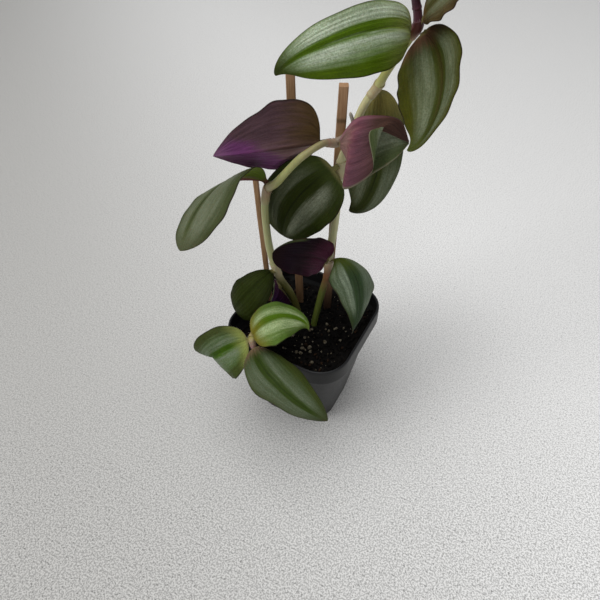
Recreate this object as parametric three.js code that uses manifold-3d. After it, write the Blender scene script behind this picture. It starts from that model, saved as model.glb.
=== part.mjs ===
// Potted tradescantia: a square nursery pot filled with soil, three bamboo sticks, three stems and
// their leaves. Millimetres. The origin is the middle of the pot's base, +Z is up, and X and Y run
// along the pot's sides.
import * as THREE from 'three';
import { mergeVertices } from 'three/addons/utils/BufferGeometryUtils.js';
import Module from 'manifold-3d';

const wasm = await Module();
wasm.setup();

// Driving dimensions
const gap = 0.3;
const pot = {
  height: 51.5, rimSide: 57, rimCorner: 13.5, footSide: 38, footCorner: 13, collarHeight: 8,
  collarStep: 0.8, wall: 1.1, floor: 1.4, edge: 0.5, slotWidth: 5, slotHeight: 5.5, slotReach: 11,
};
const soil = { top: 44.5, crumb: 0.7, mound: 1.2, edgeDrop: 0.6, rings: 9, seed: 7 };
const stick = { width: 3.4, corner: 0.7 };
const stem = { sides: 8, step: 3.5, domeWidth: 0.55, domeHeight: 0.5 };
const blade = {
  rows: 14, columns: 8, thickness: 0.7, baseWidth: 2.2, tipWidth: 0.5, wave: 0.35, waves: 2.5,
};
const clearOfNode = 2.4;

const colours = {
  pot: 0x15161a, soil: 0x241c17, stick: 0xb08d68, stemGreen: 0xb9bf86, stemLow: 0x7d7a3f,
  green: 0x4d6a34, dark: 0x33452a, fresh: 0x7d9a45, olive: 0x5a5f35, purple: 0x6b3a60,
  pink: 0x8a4a68,
};

// Bamboo sticks: where each enters the soil, where its top end is and how deep it is pushed in
const sticks = {
  stick_left: { foot: [-21.8, 7.5, soil.top], top: [-23.4, 2.5, 128], buried: 9 },
  stick_middle: { foot: [-9, 12.5, soil.top], top: [-10.6, 8, 161], buried: 26 },
  stick_right: { foot: [4.2, 14.6, soil.top], top: [7.1, 13.9, 153.5], buried: 26 },
};

// Stems: points of the centre line from the buried end to the tip, and the radius at each point,
// which is larger where a leaf's sheath wraps the stem
const stems = {
  stem_left: {
    colour: colours.stemGreen,
    points: [
      [-6, 5.5, 33], [-6.5, 5.5, 44.5], [-9.5, 4, 57], [-13, 2, 65], [-14.5, 0.5, 72.5],
      [-16, -1, 83], [-16.5, -2, 94], [-16.5, -2.5, 106.5], [-15, -2.5, 114.5], [-10, -5, 120],
      [-3, -6, 129.5], [1, -6, 134.5], [4, -3, 137], [6, 1.5, 137.5], [8, 7, 135.5],
      [10.8, 8.8, 138.5], [12.8, 10.2, 141.7], [11.5, 10, 146.5],
    ],
    radii: [
      1.6, 1.6, 1.6, 1.6, 1.7, 1.6, 1.5, 1.5, 1.7, 1.5, 1.3, 1.3, 1.2, 1.2, 1.5, 0.8, 0.7, 0.6,
    ],
  },
  stem_right: {
    colour: colours.stemGreen,
    points: [
      [3.5, 0, 33], [4, 1, 44.5], [4.5, 4.5, 55], [5, 7, 62], [6, 9.5, 70], [6, 10, 76],
      [6.5, 10.5, 86], [7.5, 10.5, 95], [8.5, 10.5, 111], [9, 10.5, 125.5], [10, 11.5, 131],
      [11.5, 14, 138], [14, 16.5, 147], [17.5, 18.5, 153.5], [19.5, 19, 158], [22, 20.5, 163],
      [25, 22, 169], [27, 23, 173], [26.5, 23, 177], [25.5, 22.5, 181], [25.5, 22.5, 186],
    ],
    radii: [
      1.4, 1.4, 1.4, 1.5, 1.6, 1.8, 1.6, 1.6, 1.5, 1.7, 1.5, 1.4, 1.4, 1.6, 1.4, 1.3, 1.4, 1.7,
      1.4, 1.2, 0.9,
    ],
  },
  stem_low: {
    colour: colours.stemLow,
    points: [
      [-15.5, -13, 33], [-15, -13.5, 44.5], [-14, -17.5, 50.5], [-12.5, -22, 54], [-11.2, -26, 56],
      [-10.4, -27.8, 55.8], [-9.7, -28.6, 54.6], [-9, -29.2, 53.2],
    ],
    radii: [1.3, 1.3, 1.3, 1.4, 1.6, 1.6, 1.4, 1.2],
  },
};

// Leaves. A leaf leaves its node, and heading (from +X about +Z), rise and roll (about its own
// length) turn it. bend arches it towards its underside and early puts that arch near the node
// below 1 or near the tip above 1. sway curves it sideways and twist turns it along its length.
// fold lifts both halves from the midrib and curl brings their margins down again. lean widens the
// left half and narrows the right one, and petiole is the share of the length that is only stalk.
// Degrees, mm.
const leaves = {
  leaf_top_left: {
    node: [25.1, 21.8, 171.1], heading: -117, rise: 2, roll: -72, length: 60, width: 19, bend: 94,
    sway: -46, twist: -8, fold: 10, curl: 29, early: 0.98, pointed: 0.64, lean: 0.26, clear: 1.3,
    colour: colours.green,
  },
  leaf_top_right: {
    node: [29, 23, 172], heading: -71, rise: -22, roll: 45, length: 49, width: 23, bend: -21,
    sway: 58, twist: 3, fold: 21, curl: 15, early: 1.8, pointed: 0.78, lean: -0.23, clear: 0.8,
    colour: colours.olive,
  },
  leaf_top_young: {
    node: [28.1, 22.5, 174.2], heading: -3, rise: 45, roll: 39, length: 29, width: 16, bend: 52,
    sway: -6, twist: 7, fold: 15, curl: 28, early: 0.76, rounded: 0.63, pointed: 0.93,
    colour: colours.olive,
  },
  leaf_top_newest: {
    node: [24.6, 22.6, 184], heading: 165, rise: 62, roll: 10, length: 17, width: 7, bend: 20,
    sway: 0, twist: 0, fold: 38, curl: 5, colour: colours.purple,
  },
  leaf_right_hanging: {
    node: [17.2, 19.4, 152.8], heading: 162, rise: -85, roll: -113, length: 58, width: 26,
    bend: -25, sway: 35, twist: -6, fold: 0, curl: 72, early: 0.45, rounded: 0.51, pointed: 0.42,
    lean: -0.31, clear: 1.7, colour: colours.dark,
  },
  leaf_purple: {
    node: [7.1, 7.7, 135.8], heading: -140, rise: -1, roll: 70, length: 40, width: 38, bend: -11,
    sway: 9, twist: -4, fold: 25, curl: 16, early: 1.05, rounded: 0.4, pointed: 0.88, lean: -0.05,
    petiole: 0.06, clear: 2.9, colour: colours.purple,
  },
  leaf_left_drooping: {
    node: [-15, -2.5, 116], heading: -105, rise: -9, roll: 33, length: 49, width: 26, bend: 130,
    sway: 13, twist: -48, fold: 7, curl: 21, early: 0.45, rounded: 0.93, pointed: 0.67,
    lean: 0.31, clear: 1.6, colour: colours.green,
  },
  leaf_centre: {
    node: [10.1, 8.5, 126.7], heading: -172, rise: -61, roll: -88, length: 44, width: 29,
    bend: 35, sway: -49, twist: 28, fold: 15, curl: 22, early: 1.42, rounded: 0.33, pointed: 0.55,
    lean: 0.09, clear: 3.5, colour: colours.dark,
  },
  leaf_dark: {
    node: [6.4, 9.1, 77.3], heading: -115, rise: 34, roll: 91, length: 33, width: 18, bend: -25,
    sway: 31, twist: -6, fold: 5, curl: 44, early: 1.25, rounded: 0.42, pointed: 0.42, lean: 0.07,
    clear: 2.9, colour: colours.purple,
  },
  leaf_right_low: {
    node: [6.3, 9.3, 77.7], heading: -47, rise: -30, roll: -34, length: 39, width: 26, bend: 137,
    sway: 14, twist: -41, fold: 1, curl: 31, early: 0.56, rounded: 1.19, pointed: 1.5, lean: 0.05,
    clear: 2.8, colour: colours.green,
  },
  leaf_left_low: {
    node: [-14.5, 0.5, 71.5], heading: -137, rise: -47, roll: -35, length: 29, width: 18,
    bend: 109, sway: 16, twist: 4, fold: 12, curl: 34, early: 0.45, rounded: 0.7, pointed: 0.42,
    lean: 0.07, colour: colours.dark,
  },
  leaf_small: {
    node: [-13.7, 2.6, 61.5], heading: -125, rise: -59, roll: -187, length: 16, width: 14,
    bend: 77, sway: 22, twist: 6, fold: 9, curl: 7, early: 1.32, rounded: 0.3, pointed: 1.5,
    lean: -0.16, colour: colours.purple,
  },
  leaf_shoot_inner: {
    node: [-10.4, -27.1, 56.2], heading: 34, rise: 8, roll: 12, length: 30, width: 21, bend: 122,
    sway: 57, twist: 22, fold: 17, curl: 24, early: 0.69, rounded: 0.66, pointed: 1.22,
    lean: -0.23, clear: 1.7, colour: colours.fresh,
  },
  leaf_shoot_left: {
    node: [-11, -27, 56], heading: -171, rise: -45, roll: -72, length: 27, width: 24, bend: 95,
    sway: -24, twist: -54, fold: 18, curl: 19, early: 2.27, rounded: 0.46, pointed: 0.42,
    lean: 0.06, clear: 2, colour: colours.fresh,
  },
  leaf_shoot_front: {
    node: [-8.1, -28.2, 53.6], heading: -22, rise: -5, roll: 20, length: 47, width: 21, bend: 84,
    sway: -24, twist: 42, fold: 0, curl: 59, early: 0.45, rounded: 0.42, pointed: 0.7,
    lean: -0.12, clear: 1.8, colour: colours.green,
  },
};

// The folded leaf hangs shut over its own upper side: its keel lies on top, the near half is
// the short one in front and the far half shows below it. Points from the base to the tip.
const foldedLeaf = {
  colour: colours.pink,
  bow: [0.7, -1.35, 0.75],
  keel: [
    [10.3, 5.3, 136.9], [11.7, 7.5, 140.7], [14.3, 9.8, 144.4], [19.5, 13, 145.2],
    [26.8, 16.9, 143.8], [31.1, 17.5, 137],
  ],
  near: [
    [10.1, 5, 136], [12.2, 3, 130.7], [16, -1.8, 123.6], [23.8, 3.4, 130.3], [20.5, 6.8, 143.3],
    [31.3, 17, 136.7],
  ],
  far: [
    [10.6, 6.1, 135.4], [13.7, 6.6, 129.6], [16.8, 3.2, 123.4], [23.8, 7.4, 128],
    [29.2, 11.4, 133], [31.4, 17, 136.2],
  ],
};

function finish(colour, roughness) {
  return new THREE.MeshStandardMaterial({ color: colour, roughness, metalness: 0 });
}

function radians(degrees) {
  return THREE.MathUtils.degToRad(degrees);
}

function vector(point) {
  return new THREE.Vector3(...point);
}

// A seeded random draw between 0 and 1
function seededDraw(seed) {
  let state = seed;
  return () => {
    state = (state * 16807) % 2147483647;
    return state / 2147483647;
  };
}

function meshGeometry(points, triangles) {
  const places = points.flatMap((p) => p.toArray());
  const geometry = new THREE.BufferGeometry();
  geometry.setAttribute('position', new THREE.Float32BufferAttribute(places, 3));
  geometry.setIndex(triangles);
  return geometry;
}

function solidFrom(geometry) {
  const bare = geometry.clone();
  bare.deleteAttribute('normal');
  bare.deleteAttribute('uv');
  const merged = mergeVertices(bare, 1e-4);
  const vertProperties = new Float32Array(merged.attributes.position.array);
  const triVerts = new Uint32Array(merged.index.array);
  return new wasm.Manifold(new wasm.Mesh({ numProp: 3, vertProperties, triVerts }));
}

function geometryFrom(solid) {
  const mesh = solid.getMesh();
  const places = new Float32Array(mesh.vertProperties);
  const geometry = new THREE.BufferGeometry();
  geometry.setAttribute('position', new THREE.BufferAttribute(places, 3));
  geometry.setIndex(new THREE.BufferAttribute(new Uint32Array(mesh.triVerts), 1));
  return geometry;
}

// Closed skin over rings of equally many points, with a fan over the first and the last ring.
// Seen along the rings' order the points of a ring turn anticlockwise.
function loft(rings) {
  const count = rings[0].length;
  const points = rings.flat();
  const triangles = [];
  for (let i = 0; i + 1 < rings.length; i++) {
    for (let j = 0; j < count; j++) {
      const a = i * count + j;
      const b = i * count + (j + 1) % count;
      triangles.push(a, b, b + count, a, b + count, a + count);
    }
  }
  const middle = (ring) => ring.reduce((sum, p) => sum.add(p), new THREE.Vector3())
    .divideScalar(count);
  const first = points.push(middle(rings[0])) - 1;
  const last = points.push(middle(rings.at(-1))) - 1;
  const lastRing = (rings.length - 1) * count;
  for (let j = 0; j < count; j++) {
    const next = (j + 1) % count;
    triangles.push(first, next, j);
    triangles.push(last, lastRing + j, lastRing + next);
  }
  return meshGeometry(points, triangles);
}

// A square with rounded corners at height z
function roundedSquare(side, corner, z, steps = 6) {
  const middle = side / 2 - corner;
  const ring = [];
  for (let quarter = 0; quarter < 4; quarter++) {
    const cx = middle * (quarter === 0 || quarter === 3 ? 1 : -1);
    const cy = middle * (quarter < 2 ? 1 : -1);
    for (let k = 0; k <= steps; k++) {
      const angle = (quarter + k / steps) * Math.PI / 2;
      const x = cx + corner * Math.cos(angle);
      const y = cy + corner * Math.sin(angle);
      ring.push(new THREE.Vector3(x, y, z));
    }
  }
  return ring;
}

// Outline of the pot's tapering body at a height, without its collar
function potBody(z, inset) {
  const t = z / pot.height;
  const side = THREE.MathUtils.lerp(pot.footSide, pot.rimSide - 2 * pot.collarStep, t);
  const corner = THREE.MathUtils.lerp(pot.footCorner, pot.rimCorner - pot.collarStep, t);
  return roundedSquare(side - 2 * inset, corner - inset, z);
}

// The pot: tapering body, collar round the rim, and a drain slot through each corner of the foot
function makePot() {
  const { height, rimSide, rimCorner, footSide, wall, edge } = pot;
  const collarFoot = height - pot.collarHeight;
  const collar = (z, inset) => roundedSquare(rimSide - 2 * inset, rimCorner - inset, z);
  let body = solidFrom(loft([
    potBody(0, edge),
    potBody(edge, 0),
    potBody(collarFoot, 0),
    collar(collarFoot + edge, edge),
    collar(height - edge, 0),
    collar(height, edge / 2),
    collar(height, edge / 2 + wall),
    potBody(collarFoot, wall),
    potBody(pot.floor, wall),
  ]));
  for (const quarter of [0, 1, 2, 3]) {
    const slot = new THREE.BoxGeometry(pot.slotReach, pot.slotWidth, 2 * pot.slotHeight);
    slot.translate(footSide / 2 + 1, 0, 0);
    slot.rotateZ((quarter + 0.5) * Math.PI / 2);
    body = body.subtract(solidFrom(slot));
  }
  return geometryFrom(body);
}

// A round tube along points, its radius given at each of them, with domed ends
function tube(points, radii, extra = 0) {
  const curve = new THREE.CatmullRomCurve3(points.map(vector), false, 'centripetal');
  const count = Math.max(3, Math.round(curve.getLength() / stem.step));
  const rings = [];
  let across = new THREE.Vector3(1, 0, 0);
  for (let i = 0; i <= count; i++) {
    const t = i / count;
    const along = curve.getTangent(t);
    across = across.clone().addScaledVector(along, -across.dot(along)).normalize();
    const other = along.clone().cross(across);
    const place = t * (radii.length - 1);
    const k = Math.min(Math.floor(place), radii.length - 2);
    const radius = THREE.MathUtils.lerp(radii[k], radii[k + 1], place - k) + extra;
    const centre = curve.getPoint(t);
    const ring = (size, shift) => Array.from({ length: stem.sides }, (_, j) => {
      const angle = 2 * Math.PI * j / stem.sides;
      return centre.clone()
        .addScaledVector(across, size * Math.cos(angle))
        .addScaledVector(other, size * Math.sin(angle))
        .addScaledVector(along, shift);
    });
    const dome = (way) => ring(radius * stem.domeWidth, way * radius * stem.domeHeight);
    if (i === 0) {
      rings.push(dome(-1));
    }
    rings.push(ring(radius, 0));
    if (i === count) {
      rings.push(dome(1));
    }
  }
  return loft(rings);
}

// A straight stick with slightly rounded edges and square-cut ends
function stickGeometry({ foot, top, buried }, extra = 0) {
  const upper = vector(top);
  const along = upper.clone().sub(vector(foot)).normalize();
  const lower = vector(foot).addScaledVector(along, -buried - extra);
  const ring = (end) => roundedSquare(stick.width + 2 * extra, stick.corner, 0, 2)
    .map((p) => end.clone().add(p));
  return loft([ring(lower), ring(upper)]);
}

// Soil: fills the pot up to a low, crumbly mound, with a plain hole for each stem and stick
function makeSoil() {
  const draw = seededDraw(soil.seed);
  const inset = pot.wall + gap;
  const shoulder = pot.height - pot.collarHeight;
  const rim = potBody(shoulder, inset);
  const rings = [potBody(pot.floor + gap, inset), potBody(soil.top - pot.collarHeight, inset)];
  for (let i = 0; i < soil.rings; i++) {
    const size = 1 - i / soil.rings;
    const height = soil.top - soil.edgeDrop + soil.mound * (1 - size * size);
    const crumb = i > 0 ? soil.crumb : 0;
    rings.push(rim.map((p) => {
      const lump = crumb * (2 * draw() - 1);
      return new THREE.Vector3(p.x * size, p.y * size, height + lump);
    }));
  }
  let body = solidFrom(loft(rings));
  for (const place of Object.values(sticks)) {
    body = body.subtract(solidFrom(stickGeometry(place, gap)));
  }
  for (const { points, radii } of Object.values(stems)) {
    body = body.subtract(solidFrom(tube(points, radii, gap)));
  }
  return geometryFrom(body);
}

// Closed blade over a grid of points: both faces stand half the thickness off the grid, and both
// are cut into triangles along the same diagonals
function bladeSolid(grid) {
  const rows = grid.length;
  const columns = grid[0].length;
  const clamp = THREE.MathUtils.clamp;
  const at = (i, j) => grid[clamp(i, 0, rows - 1)][clamp(j, 0, columns - 1)];
  const points = [];
  for (const side of [1, -1]) {
    for (let i = 0; i < rows; i++) {
      for (let j = 0; j < columns; j++) {
        const along = at(i + 1, j).clone().sub(at(i - 1, j));
        const across = at(i, j + 1).clone().sub(at(i, j - 1));
        const normal = along.cross(across).normalize();
        points.push(grid[i][j].clone().addScaledVector(normal, side * blade.thickness / 2));
      }
    }
  }
  const under = rows * columns;
  const triangles = [];
  const square = (a, b, c, d) => triangles.push(a, b, c, a, c, d);
  for (let i = 0; i + 1 < rows; i++) {
    for (let j = 0; j + 1 < columns; j++) {
      const a = i * columns + j;
      square(a, a + columns, a + columns + 1, a + 1);
      square(under + a, under + a + 1, under + a + columns + 1, under + a + columns);
    }
  }
  for (let i = 0; i + 1 < rows; i++) {
    const right = i * columns;
    const left = right + columns - 1;
    square(left, left + columns, under + left + columns, under + left);
    square(right + columns, right, under + right, under + right + columns);
  }
  for (let j = 0; j + 1 < columns; j++) {
    const tip = (rows - 1) * columns + j;
    square(j, j + 1, under + j + 1, under + j);
    square(tip + 1, tip, under + tip, under + tip + 1);
  }
  return meshGeometry(points, triangles);
}

// Half the blade's width past its petiole: t^rounded (1 - t)^pointed, scaled to 1 at its widest
function outline(u, { rounded = 0.55, pointed = 0.9, petiole = 0 }) {
  const t = Math.max(0, (u - petiole) / (1 - petiole));
  const widest = rounded / (rounded + pointed);
  const most = widest ** rounded * (1 - widest) ** pointed;
  return t ** rounded * (1 - t) ** pointed / most;
}

// Grid of a leaf in its own frame: x along its chord, y to its left, z out of its upper side
function leafGrid(leaf) {
  const { length, width, bend, sway, twist, fold, curl } = leaf;
  const { early = 1, lean = 0, clear = clearOfNode } = leaf;
  const direction = (u) => {
    const lift = radians(bend * (1 / (early + 1) - u ** early));
    const side = radians(sway * (0.5 - u));
    return new THREE.Vector3(
      Math.cos(lift) * Math.cos(side),
      Math.cos(lift) * Math.sin(side),
      Math.sin(lift),
    );
  };
  const step = 1 / blade.rows;
  const middle = direction(0).multiplyScalar(clear);
  const grid = [];
  for (let i = 0; i <= blade.rows; i++) {
    const u = i * step;
    const along = direction(u);
    if (i > 0) {
      middle.add(direction(u - step).add(along).multiplyScalar(length * step / 2));
    }
    const across = new THREE.Vector3(0, 0, 1).cross(along).normalize();
    const up = along.clone().cross(across);
    const turn = radians(twist * (u - 0.5));
    const left = across.clone().multiplyScalar(Math.cos(turn)).addScaledVector(up, Math.sin(turn));
    const out = up.multiplyScalar(Math.cos(turn)).addScaledVector(across, -Math.sin(turn));
    const least = THREE.MathUtils.lerp(blade.baseWidth, blade.tipWidth, u) / 2;
    const half = Math.max(width / 2 * outline(u, leaf), least);
    const row = [];
    for (let j = 0; j <= blade.columns; j++) {
      const v = 2 * j / blade.columns - 1;
      const reach = Math.abs(v) * half * (1 + lean * Math.sign(v));
      const angle = radians(fold - curl * Math.abs(v) / 2);
      const ripple = Math.sin(2 * Math.PI * blade.waves * u + v) * Math.sin(Math.PI * u);
      row.push(middle.clone()
        .addScaledVector(left, Math.sign(v) * reach * Math.cos(angle))
        .addScaledVector(out, reach * Math.sin(angle) + blade.wave * v * v * ripple));
    }
    grid.push(row);
  }
  return grid;
}

// Grid of the folded leaf: each half bows outwards between the keel and its margin
function foldedGrid({ keel, near, far, bow }) {
  const curves = [far, keel, near].map((points) => new THREE.CatmullRomCurve3(points.map(vector)));
  const grid = [];
  for (let i = 0; i <= blade.rows; i++) {
    const u = i / blade.rows;
    const [farEdge, spine, nearEdge] = curves.map((curve) => curve.getPoint(u));
    const row = [];
    for (let j = 0; j <= blade.columns; j++) {
      const v = 2 * j / blade.columns - 1;
      const edge = v > 0 ? nearEdge : farEdge;
      const out = 4 * v * (1 - Math.abs(v)) * Math.sin(Math.PI * u);
      row.push(spine.clone().lerp(edge, Math.abs(v)).addScaledVector(vector(bow), out));
    }
    grid.push(row);
  }
  return grid;
}

const plant = new THREE.Group();

function add(name, geometry, material) {
  const mesh = new THREE.Mesh(geometry, material);
  mesh.name = name;
  plant.add(mesh);
  return mesh;
}

add('pot', makePot(), finish(colours.pot, 0.35));
add('soil', makeSoil(), finish(colours.soil, 0.95));
for (const [name, place] of Object.entries(sticks)) {
  add(name, stickGeometry(place), finish(colours.stick, 0.7));
}
for (const [name, { points, radii, colour }] of Object.entries(stems)) {
  add(name, tube(points, radii), finish(colour, 0.5));
}
for (const [name, leaf] of Object.entries(leaves)) {
  const mesh = add(name, bladeSolid(leafGrid(leaf)), finish(leaf.colour, 0.5));
  mesh.position.copy(vector(leaf.node));
  mesh.rotation.set(radians(leaf.roll), radians(-leaf.rise), radians(leaf.heading), 'ZYX');
}
add('leaf_folded', bladeSolid(foldedGrid(foldedLeaf)), finish(foldedLeaf.colour, 0.5));

export default plant;
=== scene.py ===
import bpy
import numpy as np
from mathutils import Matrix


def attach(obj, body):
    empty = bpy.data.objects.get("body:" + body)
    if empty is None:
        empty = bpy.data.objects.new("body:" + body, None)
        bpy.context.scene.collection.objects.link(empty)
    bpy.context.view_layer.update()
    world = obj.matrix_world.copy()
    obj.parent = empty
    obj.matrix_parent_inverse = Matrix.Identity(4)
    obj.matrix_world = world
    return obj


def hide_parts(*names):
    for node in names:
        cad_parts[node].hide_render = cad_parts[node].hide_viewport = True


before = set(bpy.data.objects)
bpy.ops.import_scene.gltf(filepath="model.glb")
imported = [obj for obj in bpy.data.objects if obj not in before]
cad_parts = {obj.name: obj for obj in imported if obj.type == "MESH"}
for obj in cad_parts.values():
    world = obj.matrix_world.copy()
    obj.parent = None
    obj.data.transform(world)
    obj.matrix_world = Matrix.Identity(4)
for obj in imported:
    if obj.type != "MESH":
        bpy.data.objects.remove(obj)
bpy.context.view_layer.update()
print("frame loaded with", len(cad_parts), "solids")

mm = 0.001
body = "root"

studio = {
    "cameraPlace": (84.3, -165.2, 244.9), "cameraHeading": 27.7, "cameraPitch": 44.9,
    "lens": 36, "filmWidth": 36, "skyStrength": 0.28,
    "lights": {
        "ceiling": {"place": (-60, -160, 1300), "side": 1100, "watts": 8.6},
        "window": {"place": (-600, -700, 760), "side": 600, "watts": 5.0},
    },
}
# The floor's colour turns from dark to pale along its heading, over spread on each side of the
# plant: painted light and shade on an evenly pale table. Its speckles fade from one place to
# another along the camera's heading
floor = {
    "side": 8000, "dark": "bdbcb9", "pale": "fcfcfb", "heading": 52, "spread": 160,
    "speckles": 1450, "flecks": 900, "fade": (-100, 20), "roughness": 0.55,
}


# A colour from its six hexadecimal digits, as linear red, green, blue and alpha
def tint(code):
    part = np.array([int(code[i:i + 2], 16) for i in (0, 2, 4)]) / 255
    linear = np.where(part > 0.04045, ((part + 0.055) / 1.055) ** 2.4, part / 12.92)
    return (*linear.tolist(), 1)


# One socket in a material. + - * on it add Math nodes, and node() adds any other kind.
class Wire:
    def __init__(self, tree, socket=None):
        self.tree = tree
        self.socket = socket

    def node(self, kind, settings=None, sockets=None, output=0):
        made = self.tree.nodes.new(kind)
        for name, value in (settings or {}).items():
            setattr(made, name, value)
        for name, value in (sockets or {}).items():
            if isinstance(value, Wire):
                self.tree.links.new(value.socket, made.inputs[name])
            else:
                made.inputs[name].default_value = value
        return Wire(self.tree, made.outputs[output])

    def maths(self, operation, first, second=0):
        return self.node("ShaderNodeMath", {"operation": operation}, {0: first, 1: second})

    def __add__(self, other):
        return self.maths("ADD", self, other)

    def __sub__(self, other):
        return self.maths("SUBTRACT", self, other)

    def __rsub__(self, other):
        return self.maths("SUBTRACT", other, self)

    def __mul__(self, other):
        return self.maths("MULTIPLY", self, other)

    __radd__, __rmul__ = __add__, __mul__

    def __abs__(self):
        return self.maths("ABSOLUTE", self)

    def sine(self):
        return self.maths("SINE", self)

    # 0 below low, 1 above high and smooth between them
    def rise(self, low, high):
        settings = {"interpolation_type": "SMOOTHSTEP"}
        return self.node("ShaderNodeMapRange", settings, {0: self, 1: low, 2: high})

    # Colour first where this wire is 0 and colour second where it is 1, as wires or as codes
    def mix(self, first, second):
        first, second = (tint(c) if isinstance(c, str) else c for c in (first, second))
        return self.node("ShaderNodeMix", {"data_type": "RGBA"}, {0: self, 6: first, 7: second}, 2)

    def vectorMaths(self, operation, sockets, output=0):
        return self.node("ShaderNodeVectorMath", {"operation": operation}, sockets, output)

    # This colour times a number
    def shade(self, amount):
        return self.vectorMaths("SCALE", {"Vector": self, "Scale": amount})

    def attribute(self, name):
        return self.node("ShaderNodeAttribute", {"attribute_name": name}, {}, "Fac")

    def place(self):
        return self.node("ShaderNodeTexCoord", {}, {}, "Object")

    def height(self):
        return self.node("ShaderNodeSeparateXYZ", {}, {"Vector": self}, "Z")

    # How far along a level heading, in degrees, this place lies
    def towards(self, heading):
        way = (np.cos(np.radians(heading)), np.sin(np.radians(heading)), 0)
        return self.vectorMaths("DOT_PRODUCT", {0: self, 1: way}, "Value")

    def vector(self, x, y):
        return self.node("ShaderNodeCombineXYZ", {}, {"X": x, "Y": y})

    def stretched(self, x, y, z):
        return self.vectorMaths("MULTIPLY", {0: self, 1: (x, y, z)})

    # Cloudy noise between 0 and 1 over a vector
    def noise(self, scale, detail=2.0, rough=0.5):
        sockets = {"Vector": self, "Scale": scale, "Detail": detail, "Roughness": rough}
        return self.node("ShaderNodeTexNoise", {}, sockets)

    def bump(self, distance, strength):
        sockets = {"Height": self, "Distance": distance, "Strength": strength}
        return self.node("ShaderNodeBump", {}, sockets)


# A new material with the shader's own constants set, its shader and a wire to start from
def newFinish(name, constants):
    material = bpy.data.materials.new(name)
    material.use_nodes = True
    tree = material.node_tree
    shader = tree.nodes["Principled BSDF"]
    for socket, value in constants.items():
        shader.inputs[socket].default_value = value
    return material, shader, Wire(tree)


# Links wires to the shader's colour, roughness and normal
def feed(shader, **wires):
    sockets = {"colour": "Base Color", "roughness": "Roughness", "normal": "Normal"}
    for name, wire in wires.items():
        wire.tree.links.new(wire.socket, shader.inputs[sockets[name]])


# A closed skin over rings, an array of ring, point and x y z. Seen from the last ring the points
# run anticlockwise. Each end is closed by a fan round its middle. Extra values go with each point.
def loft(rings, **values):
    count, around = rings.shape[:2]
    middles = rings[[0, -1]].mean(axis=1)
    ring, spot = np.meshgrid(np.arange(count - 1), np.arange(around), indexing="ij")
    here = ring * around + spot
    after = ring * around + (spot + 1) % around
    quads = np.stack([here, after, after + around, here + around], axis=-1).reshape(-1, 4)
    spot = np.arange(around)
    after = (spot + 1) % around
    first, last = count * around, count * around + 1
    low = np.stack([np.full(around, first), after, spot], axis=1)
    lift = (count - 1) * around
    high = np.stack([np.full(around, last), spot + lift, after + lift], axis=1)
    extra = {}
    for name, value in values.items():
        full = np.broadcast_to(value, (count, around)).astype(float)
        extra[name] = np.concatenate([full.ravel(), full[[0, -1]].mean(axis=1)])
    points = np.concatenate([rings.reshape(-1, 3), middles])
    return {"points": points, "faces": [quads, np.concatenate([low, high])], "values": extra}


# Several skins as one, with the values that all of them carry
def joined(shells):
    start = np.cumsum([0] + [len(shell["points"]) for shell in shells])
    faces = [face + start[k] for k, shell in enumerate(shells) for face in shell["faces"]]
    names = shells[0]["values"]
    values = {n: np.concatenate([shell["values"][n] for shell in shells]) for n in names}
    points = np.concatenate([shell["points"] for shell in shells])
    return {"points": points, "faces": faces, "values": values}


# The same few sides on each of many small forms, an array of form, point and x y z, as one skin
def scattered(forms, sides):
    count, corners = forms.shape[:2]
    faces = np.array(sides) + corners * np.arange(count)[:, None, None]
    return {"points": forms.reshape(-1, 3), "faces": [faces.reshape(-1, 3)], "values": {}}


# A mesh from a skin, in metres
def meshFrom(name, shell):
    mesh = bpy.data.meshes.new(name)
    faces = [face for block in shell["faces"] for face in block.tolist()]
    mesh.from_pydata((shell["points"] * mm).tolist(), [], faces)
    return mesh


# A new object in the scene
def placed(name, data):
    made = bpy.data.objects.new(name, data)
    bpy.context.scene.collection.objects.link(made)
    return made


# Makes a piece from a skin: smooth faces, its values as attributes, its material and its body.
# Edges sharper than the angle sharp, in degrees, stay sharp.
def newPiece(name, shell, material, replaced=None, sharp=None):
    mesh = meshFrom(name, shell)
    mesh.polygons.foreach_set("use_smooth", np.ones(len(mesh.polygons), bool))
    for label, value in shell["values"].items():
        mesh.attributes.new(label, "FLOAT", "POINT").data.foreach_set("value", value)
    if sharp:
        mesh.set_sharp_from_angle(angle=np.radians(sharp))
    mesh.materials.append(material)
    piece = placed(name, mesh)
    if replaced:
        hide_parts(replaced)
    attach(piece, body)
    return piece


# Vectors divided by their own length
def unit(vectors):
    return vectors / np.linalg.norm(vectors, axis=-1, keepdims=True)


# Points turned by an angle in degrees, from their axis a towards their axis b
def spun(points, angle, a=0, b=1):
    cos, sin = np.cos(np.radians(angle)), np.sin(np.radians(angle))
    made = points.copy()
    made[..., a] = points[..., a] * cos - points[..., b] * sin
    made[..., b] = points[..., a] * sin + points[..., b] * cos
    return made


# Points of a smooth curve through the given ones, at t from 0 to 1. Each span is a cubic whose end
# slopes weigh the neighbours by the square root of their distance.
def curvePoints(points, t):
    given = np.array(points, float)
    ends = 2 * given[[0, -1]] - given[[1, -2]]
    given = np.concatenate([ends[:1], given, ends[1:]])
    place = np.asarray(t) * (len(points) - 1)
    span = np.minimum(place.astype(int), len(points) - 2)
    w = (place - span)[:, None]
    a, b, c, d = (given[span + k] for k in range(4))
    before, here, after = (
        np.linalg.norm(q - p, axis=1, keepdims=True) ** 0.5 for p, q in ((a, b), (b, c), (c, d))
    )
    leave = ((b - a) / before - (c - a) / (before + here) + (c - b) / here) * here
    arrive = ((c - b) / here - (d - b) / (here + after) + (d - c) / after) * here
    return (
        b + leave * w + (3 * (c - b) - 2 * leave - arrive) * w ** 2
        + (2 * (b - c) + leave + arrive) * w ** 3
    )


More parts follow.
